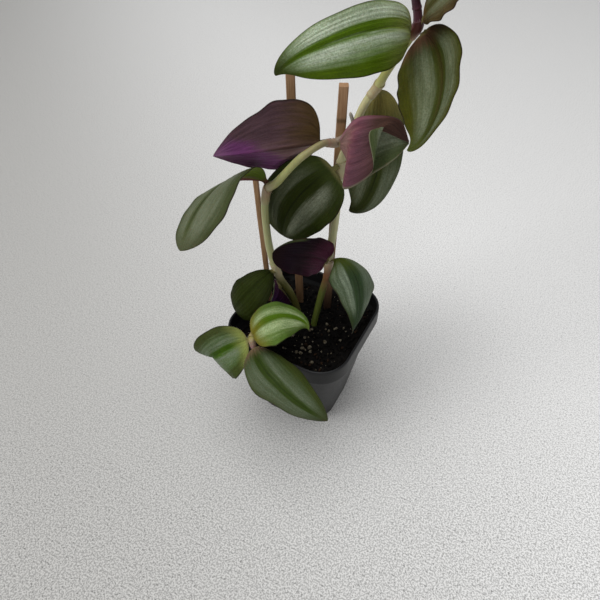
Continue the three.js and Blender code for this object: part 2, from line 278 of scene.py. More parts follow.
# Smooth random lumps between -1 and 1 over x and y: heights on a lattice, joined by 3t^2 - 2t^3
def lumps(x, y, pitch, seed):
    size = 64
    table = np.random.default_rng(seed).uniform(-1, 1, (size, size))
    column, row = np.floor(x / pitch).astype(int), np.floor(y / pitch).astype(int)
    s, t = x / pitch - column, y / pitch - row
    s, t = s * s * (3 - 2 * s), t * t * (3 - 2 * t)
    near, far = (
        table[column % size, k % size] * (1 - s) + table[(column + 1) % size, k % size] * s
        for k in (row, row + 1)
    )
    return near * (1 - t) + far * t


# A square with rounded corners as x and y, anticlockwise, with points along its sides as well
def roundedSquare(side, corner, perCorner=12, perSide=8):
    middle = side / 2 - corner
    angle = np.linspace(0, np.pi / 2, perCorner)
    arc = middle + corner * np.stack([np.cos(angle), np.sin(angle)], axis=1)
    share = np.linspace(0, 1, perSide + 2)[1:-1, None]
    straight = arc[-1] * (1 - share) + np.array([-arc[-1][0], arc[-1][1]]) * share
    quarter = np.concatenate([arc, straight])
    turn = np.array([[0, 1], [-1, 0]])
    return np.concatenate([quarter @ np.linalg.matrix_power(turn, k) for k in range(4)])


# Camera at the photograph's place, looking down on the plant
def makeCamera():
    lens = bpy.data.cameras.new("camera")
    lens.lens = studio["lens"]
    lens.sensor_width = studio["filmWidth"]
    lens.clip_start = 0.01
    camera = placed("camera", lens)
    camera.location = np.array(studio["cameraPlace"]) * mm
    tilt, turn = np.radians((90 - studio["cameraPitch"], studio["cameraHeading"]))
    camera.rotation_euler = (tilt, 0, turn)
    bpy.context.scene.camera = camera


# A pale sky and soft lights that face the plant
def makeStudio():
    bpy.context.scene.view_settings.view_transform = "Standard"
    world = bpy.data.worlds.new("studio")
    bpy.context.scene.world = world
    world.use_nodes = True
    sky = world.node_tree.nodes["Background"]
    sky.inputs["Color"].default_value = (1, 1, 1, 1)
    sky.inputs["Strength"].default_value = studio["skyStrength"]
    for name, values in studio["lights"].items():
        light = bpy.data.lights.new(name, "AREA")
        light.size = values["side"] * mm
        light.energy = values["watts"]
        lamp = placed(name, light)
        lamp.location = np.array(values["place"]) * mm
        lamp.rotation_euler = (-lamp.location).to_track_quat("-Z", "Y").to_euler()


# A flat table top with fine speckles and darker flecks
def makeFloor():
    corners = np.array([(-1, -1, 0), (1, -1, 0), (1, 1, 0), (-1, 1, 0)]) * floor["side"] / 2
    mesh = meshFrom("floor", {"points": corners, "faces": [np.array([(0, 1, 2, 3)])]})
    material, shader, start = newFinish("paleTable", {"Roughness": floor["roughness"]})
    place = start.place()
    reach, (near, far) = floor["spread"] * mm, floor["fade"]
    # Painted light and shade: the table's colour darkens towards one side and pales towards the other
    across = place.towards(floor["heading"]).rise(-reach, reach)
    away = place.towards(studio["cameraHeading"] + 90).rise(near * mm, far * mm)
    speckle = place.noise(floor["speckles"], 1.0, 0.6).rise(0.4, 0.6)
    fleck = place.stretched(1, 1, 0).noise(floor["flecks"], 0.0, 0.5).rise(0.66, 0.74)
    grain = ((speckle - 0.5) * 0.5 - fleck * 0.28) * (1 - away * 0.5)
    feed(shader, colour=across.mix(floor["dark"], floor["pale"]).shade(0.95 + grain))
    mesh.materials.append(material)
    placed("floor", mesh)


makeCamera()
makeStudio()
makeFloor()
print("camera, lights and floor are set")


# Nursery pot: black moulded plastic, tapering, with a collar and a drain slot at each foot corner
pot = {
    "height": 51.5, "rimSide": 57, "rimCorner": 13.5, "footSide": 38, "footCorner": 13,
    "collarHeight": 8, "collarStep": 0.8, "wall": 1.1, "floor": 1.4, "edge": 0.5,
    "slotWidth": 5, "slotHeight": 5.5, "slotReach": 11, "waviness": 0.12,
    "black": "111213", "wearAndSheen": "2a2b2d", "dust": "34322e", "deep": "030303",
    "scuffs": 1400, "rough": 0.3, "relief": 0.12,
}


# Side and corner radius of the pot's body at a height, without its collar
def potSize(z, inset=0):
    t = z / pot["height"]
    side = pot["footSide"] + (pot["rimSide"] - 2 * pot["collarStep"] - pot["footSide"]) * t
    corner = pot["footCorner"] + (pot["rimCorner"] - pot["collarStep"] - pot["footCorner"]) * t
    return side - 2 * inset, corner - inset


# The pot's section as rows of side, corner radius and height: under the foot from its middle, up
# the outside and over the rounded rim, and then down the inside to the middle of the floor
def potSection():
    height, edge, wall, base = pot["height"], pot["edge"], pot["wall"], pot["floor"]
    step, lip, shares = height - pot["collarHeight"], wall / 2, (0.05, 0.5, 0.85, 1)
    out = (pot["rimSide"] - potSize(step)[0]) / 2

    def collar(inset, z):
        return pot["rimSide"] - 2 * inset, pot["rimCorner"] - inset, z

    rows = [(*(size * share for size in potSize(0, edge)), 0) for share in shares]
    for angle in np.radians((30, 60, 90)):
        rows.append((*potSize(0, edge * (1 - np.sin(angle))), edge * (1 - np.cos(angle))))
    rows += [(*potSize(z), z) for z in np.linspace(edge, step - 0.15, 16)[1:]]
    for share, z in ((0.15, 0), (0.7, 0.1), (0.95, 0.35), (1, 0.75)):
        rows.append(collar(out * (1 - share), step + z))
    rows += [collar(0, z) for z in np.linspace(step + 1.5, height - lip, 5)]
    for angle in np.radians((30, 60, 90, 120, 150, 180)):
        rows.append(collar(lip * (1 - np.cos(angle)), height - lip + lip * np.sin(angle)))
    inner = [collar(wall, step + z) for z in (3, 1.2)]
    inner += [(*potSize(z, wall), z) for z in np.linspace(step, base + 1, 10)]
    for share in shares[::-1]:
        inner.append((*(size * share for size in potSize(base, wall + 0.5)), base))
    return rows, inner


# Rings of rounded squares, moved in and out a little where the thin wall is not quite flat
def potShell():
    rows, inner = potSection()
    rings = []
    for side, corner, z in rows + inner:
        outline = roundedSquare(side, corner)
        angle = np.arctan2(outline[:, 1], outline[:, 0])
        wave = pot["waviness"] * lumps(3 * np.cos(angle), 3 * np.sin(angle) + z / 20, 1.0, 5)
        reach = np.linalg.norm(outline, axis=1)
        outline = outline * (1 + wave * np.sin(np.pi * z / pot["height"]) / reach)[:, None]
        rings.append(np.column_stack([outline, np.full(len(outline), z)]))
    inside = np.arange(len(rings)) >= len(rows)
    return loft(np.array(rings), inside=inside[:, None])


# Black plastic: satin gloss with fine scuffs, dusty near the foot and dull inside. The rim is
# painted paler as a highlight, and the inside is painted near black as shade
def potFinish():
    material, shader, start = newFinish("potPlastic", {"Specular IOR Level": 0.3})
    place = start.place()
    height = place.height() * (1 / (pot["height"] * mm))
    cloud = place.noise(60, 3.0)
    scuff = place.stretched(1, 1, 0.15).noise(pot["scuffs"], 3.0, 0.6)
    # Partly real scuffs and partly a painted highlight along the top of the rim
    wearAndSheen = scuff.rise(0.62, 0.8) * 0.5 + height.rise(0.975, 1.0) * 0.55
    dust = cloud.rise(0.45, 0.8) * (1 - height.rise(0.0, 0.5)) * 0.35
    plain = wearAndSheen.mix(pot["black"], pot["wearAndSheen"])
    inside = start.attribute("inside")
    # The inside of the pot is painted near black: painted shade in its hollow
    colour = inside.mix(dust.mix(plain, pot["dust"]), pot["deep"])
    roughness = pot["rough"] + scuff * 0.16 + dust * 0.4 + inside * 0.5
    grain = place.noise(2600, 2.0) * 0.3 + cloud
    feed(shader, colour=colour, roughness=roughness, normal=grain.bump(pot["relief"] * mm, 0.35))
    return material


# The shell with an arched slot cut through each corner of its foot. A slot's upper end is half an
# ellipse, as wide as the slot and width / 4 high.
def makePot():
    piece = newPiece("pot_shell", potShell(), potFinish(), "pot", sharp=40)
    width, middle = pot["slotWidth"], pot["footSide"] / 2 + 1
    arch = np.linspace(0, np.pi, 9)
    side = width / 2 * np.cos(arch)
    height = pot["slotHeight"] + width / 4 * (np.sin(arch) - 1)
    side, height = np.r_[width / 2, side, -width / 2], np.r_[-2, height, -2]
    cutters = []
    for angle in (45, 135, 225, 315):
        ends = [
            np.column_stack([np.full(len(side), x), side, height])
            for x in (middle - pot["slotReach"] / 2, middle + pot["slotReach"] / 2)
        ]
        cutters.append(loft(spun(np.array(ends), angle)))
    cutter = placed("slots", meshFrom("slots", joined(cutters)))
    cut = piece.modifiers.new("slots", "BOOLEAN")
    cut.operation = "DIFFERENCE"
    cut.solver = "EXACT"
    cut.object = cutter
    bpy.context.view_layer.update()
    graph = bpy.context.evaluated_depsgraph_get()
    finished = bpy.data.meshes.new_from_object(piece.evaluated_get(graph))
    piece.modifiers.clear()
    piece.data = finished
    finished.name = "pot_shell"
    bpy.data.objects.remove(cutter)


makePot()
print("pot made")


# Potting mix: a dark crumbly mound with bark chips, white perlite and fine grit. lumps are the
# pitch and the height of its waves. reach is how much of the soil's width the bits cover, within
# the corners of the patch that they lie in, and sink how deep they are, as a share of their size.
soil = {
    "top": 44.5, "mound": 1.2, "edgeDrop": 0.6, "seed": 7, "inset": 1.15,
    "lumps": ((6.0, 0.55), (2.4, 0.45), (1.1, 0.4), (0.55, 0.18)),
    "dark": "060505", "brown": "17130f", "wet": "040303", "bark": ("1a120d", "46301f"),
    "white": ("4a4030", "a8a290"), "clumps": 700, "grains": 3200, "rough": 0.9, "relief": 0.6,
    "crumbs": {"count": 900, "size": (0.5, 1.7), "stretch": (0.7, 1.2), "seed": 17},
    "chips": {"count": 45, "size": (1.0, 2.6), "stretch": (0.3, 1.3), "seed": 27, "reach": 0.95},
    "perlite": {
        "count": 60, "size": (0.5, 2.2), "stretch": (0.7, 1.15), "seed": 37, "reach": 0.9,
        "sink": 0.1, "within": ((-12, 6), (20, -20)),
    },
    "grit": {
        "count": 120, "size": (0.3, 0.75), "stretch": (0.6, 1.2), "seed": 47, "reach": 0.97,
        "sink": 0.1,
    },
}


# Height of the soil at x and y: a low mound, highest in the middle, with lumps of several sizes
def soilHeight(x, y):
    half = potSize(soil["top"], soil["inset"])[0] / 2
    size = ((np.abs(x) ** 4 + np.abs(y) ** 4) ** 0.25 / half).clip(0, 1)
    height = soil["top"] - soil["edgeDrop"] + soil["mound"] * (1 - size ** 2)
    for k, (pitch, amount) in enumerate(soil["lumps"]):
        height = height + amount * lumps(x, y, pitch, soil["seed"] + k)
    return height


# Rings down the wall, then smaller and smaller ones over the mound
def soilShell():
    rings = []
    for z in (pot["floor"] + 0.1, 20, 38, soil["top"] - 2):
        outline = roundedSquare(*potSize(z, soil["inset"]), 40, 40)
        rings.append(np.column_stack([outline, np.full(len(outline), z)]))
    outline = roundedSquare(*potSize(soil["top"], soil["inset"]), 40, 40)
    for share in np.linspace(1, 0.012, 70):
        flat = outline * share
        rings.append(np.column_stack([flat, soilHeight(flat[:, 0], flat[:, 1])]))
    return loft(np.array(rings))


# Dark and light grains in clumps
def soilFinish(name, dark, light, rough=soil["rough"]):
    material, shader, start = newFinish(name, {"Specular IOR Level": 0.12})
    place = start.place()
    clumps = place.noise(soil["clumps"], 4.0, 0.65)
    fine = place.noise(soil["grains"], 2.0, 0.6)
    colour = (clumps * 0.6 + fine * 0.4).rise(0.42, 0.68).mix(dark, light)
    normal = (clumps + fine * 0.5).bump(soil["relief"] * mm, 0.7)
    feed(shader, colour=colour, roughness=rough - fine * 0.25, normal=normal)
    return material


# Many small rough bits as one skin: a twenty-faced ball for each, stretched, dented and turned
def bits(count, size, stretch, seed, reach=1.0, sink=0.2, within=None):
    random = np.random.default_rng(seed)
    golden = (1 + 5 ** 0.5) / 2
    flat = np.array([(x, y, 0) for y in (golden, -golden) for x in (-1, 1)]) / np.hypot(1, golden)
    ball = np.concatenate([np.roll(flat, k, axis=1) for k in range(3)])
    sides = [
        (0, 11, 5), (0, 5, 1), (0, 1, 7), (0, 7, 10), (0, 10, 11), (1, 5, 9), (5, 11, 4),
        (11, 10, 2), (10, 7, 6), (7, 1, 8), (3, 9, 4), (3, 4, 2), (3, 2, 6), (3, 6, 8), (3, 8, 9),
        (4, 9, 5), (2, 4, 11), (6, 2, 10), (8, 6, 7), (9, 8, 1),
    ]
    radius = random.uniform(*size, (count, 1, 1)) / 2
    shape = ball * random.uniform(0.75, 1.2, (count, 12, 1))
    shape = shape * random.uniform(*stretch, (count, 1, 3)) * radius
    axes = np.linalg.qr(random.normal(size=(count, 3, 3)))[0]
    axes = axes * np.sign(np.linalg.det(axes))[:, None, None]
    shape = shape @ axes
    half = (potSize(soil["top"], soil["inset"])[0] / 2 - 1) * reach
    x, y = random.uniform(-half, half, (2, count))
    if within:
        (left, back), (right, front) = within
        x = left + (right - left) * (x / half + 1) / 2
        y = front + (back - front) * (y / half + 1) / 2
    corner = half * 1.32 / np.maximum(np.hypot(x, y), 1e-6)
    x, y = x * corner.clip(0, 1), y * corner.clip(0, 1)
    z = soilHeight(x, y) + radius[:, 0, 0] * (1 - 2 * sink)
    return scattered(shape + np.column_stack([x, y, z])[:, None], sides)


# The bed, and crumbs, chips and white bits of their own on it
def makeSoil():
    slot, brown = "potting_soil", soil["brown"]
    newPiece("soil_bed", soilShell(), soilFinish("pottingMix", soil["dark"], brown), "soil")
    newPiece("soil_crumbs", bits(**soil["crumbs"]), soilFinish("crumb", soil["wet"], brown))
    newPiece("bark_bits", bits(**soil["chips"]), soilFinish("bark", *soil["bark"]))
    white = joined([bits(**soil["perlite"]), bits(**soil["grit"])])
    newPiece("perlite", white, soilFinish("perlite", *soil["white"], 0.95))


makeSoil()
print("soil made")


# Bamboo sticks: split strips with rounded edges, a square-cut top and a slight knot on one. thin
# is the width's share that a narrower stick has, and each stick says how dark its foot is above the
# soil: partly damp and partly painted shade, most on the right stick in the shadow of the leaves.
sticks = {
    "width": 3.3, "corner": 0.45, "turn": 27.7, "wobble": 0.09, "rows": 60, "fibreDepth": 0.035,
    "knotSwell": 0.09, "knotHeight": 0.9, "dampShadeHeight": 34, "fibres": 2600, "rough": 0.55,
    "relief": 0.25,
    "pale": "b8926e", "brown": "906a48", "edge": "7e604a", "knot": "54432c", "wet": "2c1c10",
    "each": {
        "stick_left": {
            "foot": (-21.8, 7.5), "top": (-23.4, 2.5, 128), "buried": 9, "seed": 1, "dampAndShade": 0.2,
            "thin": 0.65,
        },
        "stick_middle": {
            "foot": (-9, 12.5), "top": (-10.6, 8, 161), "buried": 26, "seed": 2, "dampAndShade": 0.35,
        },
        # The right stick's foot is darkest: mostly painted shade under the leaves
        "stick_right": {
            "foot": (4.2, 14.6), "top": (7.1, 13.9, 153.5), "buried": 26, "seed": 3, "dampAndShade": 0.95,
            "knot": 141,
        },
    },
}


# A rounded square carried from the buried end to the top, with a slow wobble and a swelling
# exp(-((z - knot) / knotHeight)^2) at the knot
def stickShell(stick):
    foot, top = np.array((*stick["foot"], soil["top"])), np.array(stick["top"], float)
    start = foot - unit(top - foot) * stick["buried"]
    share = np.concatenate([[0], np.linspace(0, 1, sticks["rows"]), [1]])
    flat = roundedSquare(sticks["width"], sticks["corner"], 5, 5)
    edge = np.abs(flat).min(axis=1) / (sticks["width"] / 2)
    thin = stick.get("thin", 1)
    flat = flat * (thin, 1) - ((1 - thin) * sticks["width"] / 2, 0)
    outline = spun(flat, sticks["turn"])
    size = np.ones_like(share)
    size[[0, -1]] = 0.9
    random = np.random.default_rng(stick["seed"])
    phase = random.uniform(0, 6, 4)
    centre = start + (top - start) * share[:, None]
    size = size + 0.02 * np.sin(9 * share + phase[0]) + 0.015 * np.sin(23 * share + phase[1])
    if "knot" in stick:
        offset = (centre[:, 2] - stick["knot"]) / sticks["knotHeight"]
        size = size + sticks["knotSwell"] * np.exp(-offset ** 2)
    fibres = sticks["fibreDepth"] * np.sin(np.arange(len(outline)) * 2.4 + phase[2])
    rings = np.repeat(centre[:, None], len(outline), axis=1)
    rings[..., :2] += outline * (size[:, None] * (1 + fibres / sticks["width"]))[..., None]
    rings[..., 0] += sticks["wobble"] * (np.sin(7 * share + phase[3]) * share)[:, None]
    return loft(rings, edge=edge[None])


# Fibres along the stick, browner edges, a dark foot that is partly damp and partly painted shade,
# and a darker band at the knot
def stickFinish(name, stick):
    material, shader, start = newFinish(name, {"Specular IOR Level": 0.35})
    place = start.place()
    fibre = place.stretched(1, 1, 0.03).noise(sticks["fibres"], 3.0, 0.7)
    patch = place.stretched(1, 1, 0.2).noise(260, 2.0)
    colour = (fibre * 0.7 + patch * 0.45).rise(0.4, 0.8).mix(sticks["pale"], sticks["brown"])
    colour = (start.attribute("edge").rise(0.6, 1.0) * 0.4).mix(colour, sticks["edge"])
    height = place.height()
    # The foot darkens towards the soil: partly damp, partly painted shade
    dampAndShade = 1 - height.rise(soil["top"] * mm, (soil["top"] + sticks["dampShadeHeight"]) * mm)
    colour = (dampAndShade * stick["dampAndShade"]).mix(colour, sticks["wet"])
    if "knot" in stick:
        near = 1 - abs(height - stick["knot"] * mm).rise(0.0002, 0.0014)
        colour = (near * (0.35 + fibre * 0.6)).mix(colour, sticks["knot"])
    normal = fibre.bump(sticks["relief"] * mm, 0.6)
    feed(shader, colour=colour, roughness=sticks["rough"] + fibre * 0.25, normal=normal)
    return material


for name, stick in sticks["each"].items():
    finish = stickFinish(name.replace("stick", "bamboo"), stick)
    newPiece(name + "_bamboo", stickShell(stick), finish, name, sharp=50)
print("bamboo sticks made")


# Stems: centre line and radius from inside the soil to the tip, the sheaths at the nodes, each with
# the number of the centre line's point where it starts and ends and its colour, and the colours up
# the stem by their share of its points
stems = {
    "stem_left": {
        "points": [
            (-6, 5.5, 33), (-6.5, 5.5, 44.5), (-9.5, 4, 57), (-13, 2, 65), (-14.5, 0.5, 72.5),
            (-16, -1, 83), (-16.5, -2, 94), (-16.5, -2.5, 106.5), (-15, -2.5, 114.5),
            (-10, -5, 120), (-3, -6, 129.5), (1, -6, 134.5), (4, -3, 137), (6, 1.5, 137.5),
            (8, 7, 135.5), (10.8, 8.8, 138.5), (12.8, 10.2, 141.7), (11.5, 10, 146.5),
        ],
        "radii": (
            1.6, 1.6, 1.6, 1.6, 1.7, 1.6, 1.5, 1.5, 1.7, 1.5, 1.3, 1.3, 1.2, 1.2, 1.5, 0.8, 0.7, 0.6
        ),
        "sheaths": [(3.3, 4.25, "c9b79a"), (7.05, 8.15, "a06a60"), (13.1, 14.1, "bda48e")],
        "colours": [
            (0, "5b5a2a"), (0.16, "68682f"), (0.22, "c6be92"), (0.3, "bcbe8a"), (0.42, "c0c38a"),
            (0.48, "b8aa86"), (0.55, "b0b274"), (0.72, "968e60"), (0.8, "98846c"), (0.9, "8a7a6c"),
            (1, "9a9488"),
        ],
        "slot": "stem_green",
    },
    "stem_right": {
        "points": [
            (3.5, 0, 33), (4, 1, 44.5), (4.5, 4.5, 55), (5, 7, 62), (6, 9.5, 70), (6, 10, 76),
            (6.5, 10.5, 86), (7.5, 10.5, 95), (8.5, 10.5, 111), (9, 10.5, 125.5), (10, 11.5, 131),
            (11.5, 14, 138), (14, 16.5, 147), (17.5, 18.5, 153.5), (19.5, 19, 158), (22, 20.5, 163),
            (25, 22, 169), (27, 23, 173), (26.5, 23, 177), (25.5, 22.5, 181), (25.5, 22.5, 186),
        ],
        "radii": (
            1.4, 1.4, 1.4, 1.5, 1.6, 1.8, 1.6, 1.6, 1.5, 1.7, 1.5, 1.4, 1.4, 1.6, 1.4, 1.3, 1.4,
            1.7, 1.4, 1.2, 0.9,
        ),
        "sheaths": [
            (3.6, 5.1, "8d5a3c"), (8.5, 9.2, "a3866a"), (12.3, 13.2, "a57a74"),
            (16.0, 17.3, "5a3038"), (18.2, 19.2, "3f1c2e"),
        ],
        "colours": [
            (0, "4c5a20"), (0.14, "55601f"), (0.2, "7a5636"), (0.26, "d6caa6"), (0.32, "cac898"),
            (0.5, "cecb9c"), (0.6, "c4bf8e"), (0.7, "9fa05a"), (0.78, "979c4e"), (0.84, "6d4030"),
            (0.88, "4f2433"), (1, "3b1728"),
        ],
        "slot": "stem_green",
    },
    "stem_low": {
        "points": [
            (-15.5, -13, 33), (-15, -13.5, 44.5), (-14, -17.5, 50.5), (-12.5, -22, 54),
            (-11.2, -26, 56), (-10.4, -27.8, 55.8), (-9.7, -28.6, 54.6), (-9, -29.2, 53.2),
        ],
        "radii": (1.3, 1.3, 1.3, 1.4, 1.6, 1.6, 1.4, 1.2),
        "sheaths": [(3.0, 4.2, "b3a070")],
        "colours": [(0, "6d6a30"), (0.4, "7c7a3c"), (0.65, "9a9250"), (0.8, "98806c"), (1, "8c6468")],
        "slot": "stem_olive",
    },
}
stemShape = {
    "around": 28, "rows": 260, "ribs": 7, "ribDepth": 0.018, "reference": (1, 0, 0),
    "sleeveRows": 24, "liningRows": 10, "swell": 0.12, "flare": 0.2, "slant": 0.9,
    "fibres": 1500, "rough": 0.36, "relief": 0.18,
}
stemAngle = np.linspace(0, 2 * np.pi, stemShape["around"], endpoint=False)


# Centre, direction, two sideways directions and radius of a stem at t from 0 to 1
def stemPath(stem, t):
    centre = curvePoints(stem["points"], t)
    small = 1e-3
    before, after = (curvePoints(stem["points"], (t + k).clip(0, 1)) for k in (-small, small))
    along = unit(after - before)
    across = unit(np.array(stemShape["reference"]) - along * along[:, :1])
    other = np.cross(along, across)
    radii = np.array(stem["radii"])
    place = t * (len(radii) - 1)
    low = np.minimum(place.astype(int), len(radii) - 2)
    w = place - low
    radius = radii[low] + (radii[low + 1] - radii[low]) * w * w * (3 - 2 * w)
    return centre, along, across, other, radius


# Rings round a path: centre + size * (across * cos(angle) + other * sin(angle)) + along * shift
def ringsRound(centre, along, across, other, size, shift=0.0):
    size, shift = (
        np.broadcast_to(value, (len(centre), len(stemAngle)))[..., None] for value in (size, shift)
    )
    cos, sin = np.cos(stemAngle)[:, None], np.sin(stemAngle)[:, None]
    spokes = across[:, None] * cos + other[:, None] * sin
    return centre[:, None] + size * spokes + along[:, None] * shift


# The bare stem: faintly ribbed, with a domed tip whose radius falls as sqrt(1 - x^2) over the last
# 1.5 % of its length
def stemShell(stem):
    t = np.linspace(0, 1, stemShape["rows"])
    centre, along, across, other, radius = stemPath(stem, t)
    dome = np.sqrt(1 - ((t - 0.985) / 0.0151).clip(0, 1) ** 2)
    ribs = 1 + stemShape["ribDepth"] * np.cos(stemShape["ribs"] * stemAngle)[None]
    size = (radius * dome)[:, None] * ribs
    rings = ringsRound(centre, along, across, other, size)
    return loft(rings, along=t[:, None], sheath=np.zeros((1, 1)))


# A leaf's sheath: a thin sleeve that hugs the stem, swells over the node, flares by flare * s^4
# towards its mouth, which slants by slant * cos(angle), then turns back inside itself as a lining.
# Its foot and the lining's end are sunk in the stem.
def sheathShell(stem, sheath, seed):
    begin, end, colour = sheath
    rows = stemShape["sleeveRows"]
    s = np.concatenate([np.linspace(0, 1, rows), np.linspace(1, 0.55, stemShape["liningRows"])])
    outside = np.arange(len(s)) < rows
    t = (begin + (end - begin) * s) / (len(stem["points"]) - 1)
    centre, along, across, other, radius = stemPath(stem, t)
    swell = stemShape["swell"] * np.exp(-((s - 0.2) / 0.1) ** 2)
    skin = -0.1 + 0.22 * np.minimum(s / 0.2, 1) + stemShape["flare"] * s ** 4 + swell
    size = radius + np.where(outside, skin, skin - 0.2 - 0.25 * (1 - s))
    facing = np.random.default_rng(seed).uniform(0, 2 * np.pi)
    pleat = 1 + 0.02 * np.cos(9 * stemAngle + seed)[None] * s[:, None]
    slant = stemShape["slant"] * (s ** 3)[:, None] * np.cos(stemAngle - facing)[None]
    rings = ringsRound(centre, along, across, other, size[:, None] * pleat, slant)
    mouth = rings[rows - 1]
    outwards = mouth - centre[rows - 1] + along[rows - 1] * 1.2
    return loft(rings, along=t[:, None], sheath=np.ones((1, 1))), mouth, outwards


# Fine hairs: three-sided spikes from their roots along their directions, each a little astray
def hairs(roots, directions, length, width, seed):
    random = np.random.default_rng(seed)
    count = len(roots)
    directions = unit(directions) + random.normal(scale=0.25, size=(count, 3))
    sideways = unit(np.cross(directions, (0.31, 0.42, 0.85)))
    other = unit(np.cross(directions, sideways))
    angle = np.radians((0, 120, 240))
    ring = sideways[:, None] * np.cos(angle)[:, None] + other[:, None] * np.sin(angle)[:, None]
    foot = roots[:, None] + ring * width / 2 - directions[:, None] * 0.05
    tip = roots + directions * (length * random.uniform(0.6, 1.2, (count, 1)))
    spikes = np.concatenate([foot, tip[:, None]], axis=1)
    return scattered(spikes, [(0, 1, 3), (1, 2, 3), (2, 0, 3), (0, 2, 1)])


# The colours run into each other up the stem, and a thin sheath lets them show through
def stemFinish(name, stem):
    constants = {"Specular IOR Level": 0.5, "Subsurface Weight": 0.12, "Subsurface Scale": 0.001}
    material, shader, start = newFinish(name, constants)
    along = start.attribute("along")
    sheath = start.attribute("sheath")
    place = start.place()
    last = len(stem["points"]) - 1
    stops = stem["colours"]
    colour = along.rise(stops[0][0], stops[1][0]).mix(stops[0][1], stops[1][1])
    for before, after in zip(stops[1:], stops[2:]):
        colour = along.rise(before[0], after[0]).mix(colour, after[1])
    fibre = place.stretched(1, 1, 0.12).noise(stemShape["fibres"], 3.0, 0.6)
    sleeve = colour
    for begin, end, code in stem["sheaths"]:
        sleeve = along.rise(begin / last - 0.004, begin / last + 0.03).mix(sleeve, code)
    colour = sheath.mix(colour, (0.25 + fibre * 0.3).mix(colour, sleeve))
    colour = colour.shade(0.82 + fibre * 0.36)
    normal = fibre.bump(stemShape["relief"] * mm, 0.5)
    feed(shader, colour=colour, roughness=stemShape["rough"] + fibre * 0.2, normal=normal)
    return material


# A stem and its sheaths are one piece. Gives the hairs' roots and directions at the mouths.
def makeStems():
    mouths = []
    for seed, (name, stem) in enumerate(stems.items()):
        parts = [stemShell(stem)]
        for k, sheath in enumerate(stem["sheaths"]):
            sleeve, *mouth = sheathShell(stem, sheath, 10 * seed + k)
            parts.append(sleeve)
            mouths.append(mouth)
        finish = stemFinish(name.replace("stem", "stalk"), stem)
        newPiece(name + "_stalk", joined(parts), finish, name)
    return np.concatenate(mouths, axis=1)


sheathMouths = makeStems()
print("stems made")


# What a leaf is unless it says otherwise. Its shape:
# - clear is the gap from the node to the blade and petiole the share of the length that stays a
#   stalk. early below 1 moves the arch towards the node and above 1 towards the tip.
# - rounded and pointed draw the base and the tip out where they are high, lean makes the left half
#   the wider one, hook turns the tip sideways and ribAt moves the midrib to the left.
# - The margins are thin. They rise and fall by wave, waves times along the leaf, and by flutter in
#   short ripples, and go in and out by ruffle, on the left and on the right, ruffles times.
# Its paint, where 0 is the node or the midrib and 1 the tip or the margin:
# - The upper side has line on the midrib, stripe beside it, base and tip at the ends and silver on
#   both halves. left and right say where a half's silver band starts across the leaf by the base
#   and by the tip, where it ends by each, and how strong it is. split is where a dark line parts
#   the right one.
# - The under side goes through its colours from base to tip. underSide begins where front says,
#   sooner towards the left margin by its second number, and underTip at tipStart. flush tints the
#   right half. curled is where, across and along, the margin turns its upper side out.
leafCommon = {
    "rows": 90, "columns": 29, "thickness": 0.55, "thin": 0.14, "groove": 0.17, "midrib": 0.4,
    "grooveWidth": 0.55, "midribWidth": 0.75, "ridges": 6, "ridgeDepth": 0.06, "baseWidth": 2.2,
    "wave": 0.35, "waves": 2.5, "flutter": 0.2, "flutters": 34, "ruffle": (0.012, 0.012),
    "ruffles": 3.3, "outline": (0.55, 0.9, 0), "early": 1, "clear": 2.4, "petiole": 0, "hook": 0,
    "ribAt": 0,
    "upper": "2c3810 46591f 3c4c18 93a08c 6d7440 4a4d34", "lineWidth": 0.05, "baseEnd": 0.16,
    "left": (0.2, 0.2, 0.7, 0.7, 0.9), "right": (0.2, 0.2, 0.7, 0.7, 0.9), "split": 0,
    "silverStart": 0.05, "silverEnd": 1.0,
    "lower": "5a4a32 5b3346 5b3350 5e3356", "front": (0.6, 0.0), "tipStart": 0.72,
    "ribLine": "6a4a50", "flush": None, "curled": None,
    "stalk": "8c8656", "rim": "221a16", "cells": 1900, "rough": 0.45, "relief": 0.18,
}
